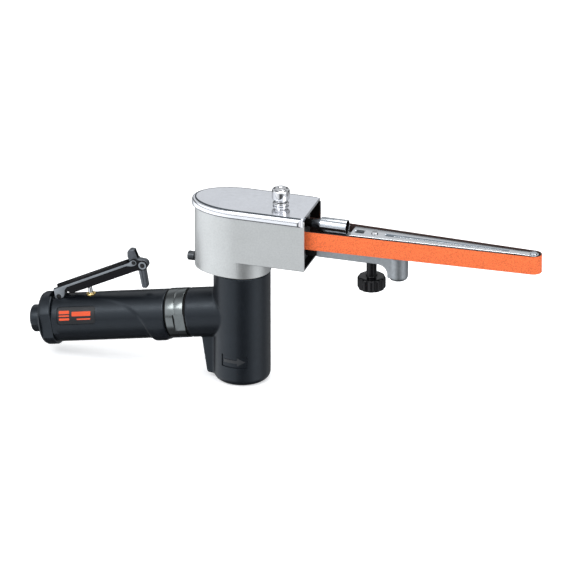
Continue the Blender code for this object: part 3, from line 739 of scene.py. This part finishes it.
def lid(m):
    levels = arc(0.55, 123.2, 1.55, 1.9, -70, 0, 6) + arc(0.55, 123.2, 1.55, 3.5, 0, 90, 10)[1:]
    levels += [(-0.1, 126.72), (-1.05, 126.72), (-1.07, LID_TOP), (-2.2, LID_TOP)]
    fronts = [0, 10, 20, 30, 38, 42, 43.6, 44.4, 45.1, 45.6, 45.9, 46.0, 46.1, 47.6]
    rings = []
    for grow, z in levels:
        loop = []
        for x in reversed(fronts[1:]):
            loop.append((x, WALL_HALF + 0.35 + (grow - 0.35) * bead_end(x, grow), z))
        for x, y in arc(0, 0, NOSE_LEN + grow, WALL_HALF + grow, 90, 270, 64):
            loop.append((x, y, z))
        for x in fronts[1:]:
            loop.append((x, -WALL_HALF - 0.35 - (grow - 0.35) * bead_end(x, grow), z))
        rings.append(loop)
    hollow = slab(housing_outline(0.25, 70), 115, 125.2)
    hole = moved(disc(2.3, 120, 135, 32), shift(LID_KNOB_X, 0, 0))
    body = cut(loft(rings), hollow, hole)
    weighted(piece("lid_skin", body, "lid", m["lid"], ["lid"], 24))
    # painted shade: a dark ring in the crease between the lid's top and its bead
    crease_shade_ring = slab(housing_outline(-0.15, 45.8), 126.6, LID_TOP - 0.06)
    crease_shade_ring = cut(crease_shade_ring, slab(housing_outline(-1.1, 50), 120, 130))
    piece("lid_crease_shade", crease_shade_ring, "lid", m["pocket"])


def bead_end(x, grow):
    """The rolled bead ends in a rounded tip just short of the housing's mouth."""
    if grow < 0.35 or x < 43.9:
        return 1.0
    return math.sqrt(max(0.0, 1 - ((x - 43.9) / 2.1) ** 2))


def lid_knob(m):
    neck = [(1.9, 112.6), (1.9, 127.3), (5.0, 127.3), (5.3, 127.8), (5.3, 128.5), (4.4, 129.1)]
    neck += [(4.2, 130.2), (4.5, 130.9), (5.7, 131.6)]
    head = [(6.0, 132.2), (6.0, 137.3), (5.5, 138.2), (4.4, 138.5), (3.9, 138.9), (3.4, 139.4)]
    top = [(1.6, 139.4), (1.3, 138.7), (0.001, 138.5)]
    rings = []
    for r, z in [(0.001, 112.6)] + fillet(neck + head + top, 0.3, 3, closed=False):
        depth = 0.35 if 132.4 < z < 137.2 else 0.0
        rings.append(around([r - depth * (0.5 + 0.5 * math.cos(30 * a)) ** 3 for a in angles(240)], z))
    knob = moved(loft(rings), shift(LID_KNOB_X, 0, 0))
    piece("lid_knob_skin", knob, "lid_knob", m["chrome"], ["lid_knob"], 40)
    # painted shade: black bands where the knob's grooves are, not cut in as grooves
    for i, (r, z) in enumerate(((5.98, 134.9), (4.35, 129.6))):
        band = turned([(r - 0.5, z), (r, z), (r, z + 0.4), (r - 0.5, z + 0.4)], 0.05)
        band = moved(band, shift(LID_KNOB_X, 0, 0))
        piece(f"lid_knob_groove_shade_{i + 1}", band, "lid_knob", m["pin"])


def clamp_screw(m):
    profile = [(0, -37.0), (2.6, -37.0), (3.1, -36.5), (3.1, -32.5), (1.7, -32.4), (1.7, -18.0), (0, -18.0)]
    body = turned(profile, 0.25, 48)
    socket = slab(arc(0, 0, 1.55, 1.55, 0, 300, 5), -38, -34.8)
    body = moved(cut(body, socket), along_x(0, 0, SCREW_Z))
    piece("clamp_screw_skin", body, "head", m["dark"], ["clamp_screw"])


# ---------------------------------------------------------------- arm

def belt_inner(x):
    return DRIVE_R - (DRIVE_R - TIP_R) * x / TIP_X


def arm_half(x):
    return belt_inner(x) - 2.3


def tension_parts(m):
    profile = [(0, 39.2), (2.3, 39.2), (2.4, 46.0), (2.5, 48.6), (3.6, 53.6), (3.6, 54.4), (3.4, 60.0)]
    rod = moved(turned(profile + [(0, 60.0)], 0.3, 48), along_x(0, 0, ROD_Z))
    piece("tension_rod_skin", rod, "arm", m["peg"], ["tension_rod"])
    # painted shade: a near-black sleeve over the rod where it runs back into the housing's shadow
    rod_shade_mesh = moved(disc(2.5, 39.0, 49.2, 40), along_x(0, 0, ROD_Z))
    piece("rod_shade", rod_shade_mesh, "arm", m["liner"])
    tube = [(4.45, 54.6), (4.9, 54.6), (4.9, 72.4), (4.45, 72.4)]
    tube = moved(turned(tube, 0.12, 72), along_x(0, 0, ROD_Z))
    piece("tension_tube_skin", tube, "arm", m["bright"], ["tension_tube"])
    # painted shade: a near-black bore and end disc inside the tube, so its open end reads as shadow
    bore = [(3.8, 55.0), (4.4, 55.0), (4.4, 72.0), (3.8, 72.0)]
    bore = moved(turned(bore, 0.1, 48), along_x(0, 0, ROD_Z))
    piece("tube_liner", bore, "arm", m["liner"])
    end = moved(turned([(0, 62.0), (4.3, 62.0), (4.3, 62.6), (0, 62.6)], 0.1, 40), along_x(0, 0, ROD_Z))
    piece("tube_end_shade", end, "arm", m["liner"])
    foot = block(45.4, 52.8, -6.0, 6.0, 95.9, 101.0, 0.5, 0.8)
    piece("slide_foot_skin", foot, "arm", m["soft_black"], ["slide_foot"])


def arm_bracket(m):
    side = [(53, 95.6), (95, 95.6)] + arc(95, 89.4, 6.2, 6.2, 90, 0, 12)
    rail = slab(side + [(101.2, 87.0), (107.2, 87.0), (107.2, 101.3), (53, 101.3)], -6.0, 6.0, "Y")
    post = [(0, 84.5), (4.0, 84.5), (5.6, 85.1), (6.4, 86.6), (6.5, 88.0), (6.5, 101.3), (0, 101.3)]
    post = moved(revolve(post, 64), shift(FINGER_X, 0, 0))
    pillar = [(57, 100), (93, 100), (93, 113.6), (75.2, 113.6), (75.2, 111.8), (57, 111.8)]
    body = melt((rail, post, slab(pillar, -5.2, 5.2, "Y")), 0.5, 4)
    body = cut(body, moved(disc(2.3, 90, 111, 32), shift(KNOB_X, 0, 0)))
    piece("arm_bracket_skin", body, "arm", m["cast"], ["arm_bracket"], 40)


def clamp_knob(m):
    count = 144
    rings = []
    profile = [(0.001, 0.0, 75.7), (0.78, 0.0, 75.7), (0.9, 0.3, 75.9), (0.97, 0.7, 76.4), (1.0, 1.0, 77.2)]
    profile += [(1.0, 1.0, 83.0), (0.98, 0.8, 83.7), (0.92, 0.3, 84.3), (0.82, 0.0, 84.6), (0.6, 0.0, 84.4)]
    for scale, flute, z in profile:
        dents = [0.5 * (1 + math.cos(12 * a)) for a in angles(count)]
        rings.append(around([scale * (9.35 - 0.95 * flute * dent ** 1.5) for dent in dents], z))
    stem = ((3.9, 84.4), (3.6, 84.6), (3.4, 85.0), (3.4, 95.1), (3.2, 95.3), (2.05, 95.4), (2.05, 110.2))
    for r, z in stem:
        rings.append(around([r] * count, z))
    knob = moved(loft(rings), shift(KNOB_X, 0, 0))
    piece("clamp_knob_skin", knob, "clamp_knob", m["gloss_black"], ["clamp_knob"], 40)


def arm_outline(front, shrink, tip):
    """The arm seen from above: tapered sides, and the points of tip between them."""
    near = [(ARM_BACK, -arm_half(ARM_BACK) + shrink), (front, -arm_half(front) + shrink)]
    far = [(front, arm_half(front) - shrink), (ARM_BACK, arm_half(ARM_BACK) - shrink)]
    return near + tip + far


def contact_arm(m):
    """A channel open underneath, with a slotted plate on top that reaches over the tip wheel."""
    tip = arc(TIP_X, 0, 3.4, 3.4, -80, 80, 20)
    body = slab(arm_outline(ARM_FRONT, 0, []), ARM_BOTTOM, 114.4)
    body = cut(body, slab(arm_outline(186.0, 1.0, []), 100, 113.9))
    body = join(body, slab(arm_outline(ARM_FRONT, 0, tip), 113.9, ARM_TOP, "Z", 0.25))
    lower = [(184, -2.2), (192, -2.4)] + tip + [(192, 2.4), (184, 2.2)]
    body = join(body, slab(lower, 102.9, 104.0))
    slot = slab(fillet([(98, -2.0), (183, -1.15), (183, 1.15), (98, 2.0)], 0.6), 114.45, 120)
    body = cut(body, slot, block(77.5, 84, -2.6, 2.6, 114.4, 120, 0, 0.6))
    body = cut(body, moved(disc(1.7, 100, 120, 32), shift(TIP_X, 0, 0)))
    body = cut(body, moved(disc(1.5, 112, 120, 24), shift(ARM_RIVET_X, 0, 0)))
    piece("contact_arm_skin", body, "arm", m["plate"], ["contact_arm"], 30)
    # painted shade: a dark strip on the floor of the top slot, where shade falls
    arm_slot_shade_mesh = slab(fillet([(98.4, -1.85), (182.6, -1.05), (182.6, 1.05), (98.4, 1.85)], 0.5), 114.4, 114.6)
    piece("arm_slot_shade", arm_slot_shade_mesh, "arm", m["ground"])
    rib = slab(fillet([(104, -0.3), (178, -0.25), (178, 0.25), (104, 0.3)], 0.15), 114.55, 114.8, "Z", 0.06)
    piece("arm_slot_rib", rib, "arm", m["plate"])
    # painted shade: a dark pad on the floor of the recess, where shade falls
    recess_shade_mesh = block(78, 83.5, -2.2, 2.2, 114.45, 114.7, 0.08, 0.5)
    piece("arm_recess_shade", recess_shade_mesh, "arm", m["pocket"])


def arm_trim(m):
    profile = [(0, 113.95), (1.35, 113.95), (1.35, 115.15), (2.4, 115.15), (2.1, 115.9), (0, 116.1)]
    rivet = moved(turned(profile, 0.2, 40), shift(ARM_RIVET_X, 0, 0))
    piece("arm_rivet_skin", rivet, "arm", m["chrome"], ["arm_rivet"])
    for name, side in (("platen_near", -1), ("platen_far", 1)):
        inner = [(x, side * (arm_half(x) + 0.15)) for x in (96, 184)]
        outer = [(x, side * (arm_half(x) + 1.75)) for x in (184, 96)]
        strip = slab(fillet(inner + outer, 0.4, 3), ARM_BOTTOM + 0.2, 114.4, "Z", 0.2)
        piece(name + "_skin", strip, "arm", m["graphite"], [name])


def tip_wheel(m):
    at_tip = shift(TIP_X, 0, 0)
    wheel = turned([(3.15, 104.3), (4.58, 104.3), (4.58, 113.6), (3.15, 113.6)], 0.3, 64)
    piece("tip_wheel_skin", moved(wheel, at_tip), "tip", m["bright"], ["tip_wheel"])
    axle = [(0, 101.9), (2.6, 101.9), (2.6, 102.6), (1.6, 102.6), (1.6, 115.2), (2.6, 115.2), (2.3, 115.9)]
    axle = moved(turned(axle + [(0, 115.9)], 0.2, 40), at_tip)
    piece("tip_axle_skin", axle, "arm", m["bright"], ["tip_axle"])


def belt_path(offset):
    lean = math.degrees(math.asin((DRIVE_R - TIP_R) / TIP_X))
    rear = arc(0, 0, DRIVE_R + offset, DRIVE_R + offset, 90 - lean, 270 + lean, 72)
    front = arc(TIP_X, 0, TIP_R + offset, TIP_R + offset, -90 + lean, 90 - lean, 40)
    return rear + front


def belt(m):
    """A cloth loop with a coat of grit; both layers are closed bands."""
    layers = (("belt_backing", 0.0, 0.62, 0.0, m["backing"], ()),
              ("belt_grit", 0.62, 0.8, 0.06, m["grit"], ["abrasive_belt"]))
    for name, inner, outer, drop, material, nodes in layers:
        z0, z1, e = BELT_Z0 + drop, BELT_Z0 + BELT_W - drop, 0.06
        corners = ((inner, z0 + e), (inner + e, z0), (outer - e, z0), (outer, z0 + e))
        corners += ((outer, z1 - e), (outer - e, z1), (inner + e, z1), (inner, z1 - e))
        rings = [[(x, y, z) for x, y in belt_path(offset)] for offset, z in corners]
        piece(name, loft(rings, closed=True), "head", material, nodes, 50)


# ---------------------------------------------------------------- inner parts

def inner_parts(m):
    """CAD nodes whose shape is already right get a procedural material."""
    table = {
        "alloy": ("valve_body", "drive_wheel"),
        "motor": ("motor_cylinder", "lower_end_plate", "upper_end_plate", "lock_ring", "rotor"),
        "bright": ("lower_bearing", "upper_bearing", "valve_spring", "lock_spring"),
        "dark": ("wheel_screw", "tension_spring"),
        "cast": ("mount_block",),
        "vane": ("vane_1", "vane_2", "vane_3", "vane_4"),
        "rubber": ("drive_tyre", "valve_disc"),
        "bronze": ("inlet_screen", "tip_bearing"),
        "felt": ("felt_silencer",),
    }
    for key, names in table.items():
        for name in names:
            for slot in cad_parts[name].material_slots:
                slot.material = m[key]


# ---------------------------------------------------------------- stage

# Brightness of the room by heading, from -Y round through -X, +Y and +X to -Y, seen below eye level.
WALLS = [(0.0, 0.6), (0.025, 0.95), (0.05, 1.1), (0.14, 1.45), (0.28, 1.3), (0.34, 0.5), (0.38, 0.3),
         (0.56, 0.3), (0.62, 0.5), (0.68, 0.3), (0.74, 1.0), (0.80, 1.3), (0.86, 0.6), (0.90, 0.25),
         (0.93, 0.12), (0.947, 0.06), (0.958, 0.06), (0.975, 0.2)]
# Brightness by height (0 straight down, 1 overhead), towards -Y and towards +Y.
FRONT = [(0.50, 1.0), (0.60, 1.3), (0.80, 1.35), (0.93, 0.8), (1.0, 0.5)]
BACK = [(0.50, 0.06), (0.60, 0.10), (0.66, 0.58), (0.71, 0.74), (0.79, 0.70), (0.85, 0.35), (0.93, 0.25),
        (1.0, 0.5)]
# A factor by height for all headings: dark straight below, and dark at eye level.
EYE_LEVEL = [(0.0, 0.1), (0.10, 0.15), (0.17, 1.0), (0.46, 1.0), (0.485, 0.12), (0.512, 0.12), (0.54, 1.0)]


FLOOR_HALF = 6.0
CAMERA_TURN = math.radians(17.4)
CAMERA_RISE = math.radians(24.5)
CAMERA_REACH = 12.504
CAMERA_AIM = Vector((0.0302, 0.0, 0.0690))


def floor():
    n = Nodes("floor_white")
    tones = [(0.4, (0.86, 0.86, 0.86)), (0.6, (0.90, 0.90, 0.90))]
    n.set(Base_Color=n.ramp(n.noise(3.0), tones), Roughness=0.9, Specular_IOR_Level=0.0)
    n.set(Emission_Color=(1.0, 1.0, 1.0, 1.0), Emission_Strength=0.4)
    mesh = bpy.data.meshes.new("floor")
    corners = [(x * FLOOR_HALF, y * FLOOR_HALF, 0) for x, y in ((-1, -1), (1, -1), (1, 1), (-1, 1))]
    mesh.from_pydata(corners, [], [(0, 1, 2, 3)])
    mesh.materials.append(n.mat)
    obj = bpy.data.objects.new("floor", mesh)
    bpy.context.scene.collection.objects.link(obj)
    obj.visible_glossy = False


def area(name, place, aim, size, power):
    light = bpy.data.lights.new(name, "AREA")
    light.shape = "RECTANGLE"
    light.size = size[0]
    light.size_y = size[1]
    light.energy = power
    obj = bpy.data.objects.new(name, light)
    obj.location = place
    obj.rotation_euler = (Vector(aim) - Vector(place)).to_track_quat("-Z", "Y").to_euler()
    bpy.context.scene.collection.objects.link(obj)


def ramp_stops(tree, value, stops):
    node = tree.nodes.new("ShaderNodeValToRGB")
    tree.links.new(value, node.inputs["Fac"])
    while len(node.color_ramp.elements) < len(stops):
        node.color_ramp.elements.new(0.5)
    for element, (place, grey) in zip(node.color_ramp.elements, stops):
        element.position = place
        element.color = (grey * 0.985, grey, grey * 1.02, 1.0)
    return node.outputs["Color"]


def remap(tree, value, low, high):
    node = tree.nodes.new("ShaderNodeMapRange")
    tree.links.new(value, node.inputs["Value"])
    node.inputs["From Min"].default_value = low
    node.inputs["From Max"].default_value = high
    return node.outputs["Result"]


def blend(tree, factor, first, second, kind="MIX"):
    node = tree.nodes.new("ShaderNodeMix")
    node.data_type = "RGBA"
    node.blend_type = kind
    if factor is None:
        node.inputs["Factor"].default_value = 1.0
    else:
        tree.links.new(factor, node.inputs["Factor"])
    tree.links.new(first, node.inputs[6])
    tree.links.new(second, node.inputs[7])
    return node.outputs[2]


def room(tree):
    """A studio: soft panels left, right and in front, darker behind, a dark line at eye level."""
    coords = tree.nodes.new("ShaderNodeTexCoord")
    split = tree.nodes.new("ShaderNodeSeparateXYZ")
    tree.links.new(coords.outputs["Generated"], split.inputs["Vector"])
    x, y, z = split.outputs
    turn = tree.nodes.new("ShaderNodeMath")
    turn.operation = "ARCTAN2"
    tree.links.new(x, turn.inputs[0])
    tree.links.new(y, turn.inputs[1])
    heading = remap(tree, turn.outputs["Value"], -math.pi, math.pi)
    height = remap(tree, z, -1, 1)
    front = ramp_stops(tree, height, FRONT)
    back = ramp_stops(tree, height, BACK)
    sky = blend(tree, remap(tree, y, -0.15, 0.15), front, back)
    walls = ramp_stops(tree, heading, WALLS)
    whole = blend(tree, remap(tree, z, -0.04, 0.04), walls, sky)
    return blend(tree, None, whole, ramp_stops(tree, height, EYE_LEVEL), "MULTIPLY")


def studio():
    world = bpy.data.worlds.new("studio")
    bpy.context.scene.world = world
    world.use_nodes = True
    tree = world.node_tree
    back = tree.nodes["Background"]
    tree.links.new(room(tree), back.inputs["Color"])
    back.inputs["Strength"].default_value = 1.0
    area("key", (-0.6, -1.3, 1.6), (0.03, 0, 0.08), (0.9, 0.9), 14)
    area("fill", (1.6, -0.7, 1.0), (0.03, 0, 0.08), (0.6, 1.0), 7)
    area("top", (0.2, 0.5, 1.9), (0.03, 0, 0.08), (1.6, 1.0), 16)


def camera():
    data = bpy.data.cameras.new("camera")
    data.lens = 1200
    data.sensor_width = 36
    data.clip_end = 100
    level = math.cos(CAMERA_RISE)
    back = Vector((math.sin(CAMERA_TURN) * level, -math.cos(CAMERA_TURN) * level, math.sin(CAMERA_RISE)))
    obj = bpy.data.objects.new("camera", data)
    obj.location = CAMERA_AIM + back * CAMERA_REACH
    obj.rotation_euler = (-back).to_track_quat("-Z", "Y").to_euler()
    bpy.context.scene.collection.objects.link(obj)
    bpy.context.scene.camera = obj


def build():
    m = make_materials()
    for make in (angle_housing, grip, label, collar, rear_end, throttle_lever, lever_pins, lock_off_lever,
                 valve_parts, belt_housing, lid, lid_knob, clamp_screw, tension_parts, arm_bracket,
                 clamp_knob, contact_arm, arm_trim, tip_wheel, belt, inner_parts):
        make(m)
    floor()
    studio()
    camera()
    bpy.context.scene.view_settings.view_transform = "Standard"


build()
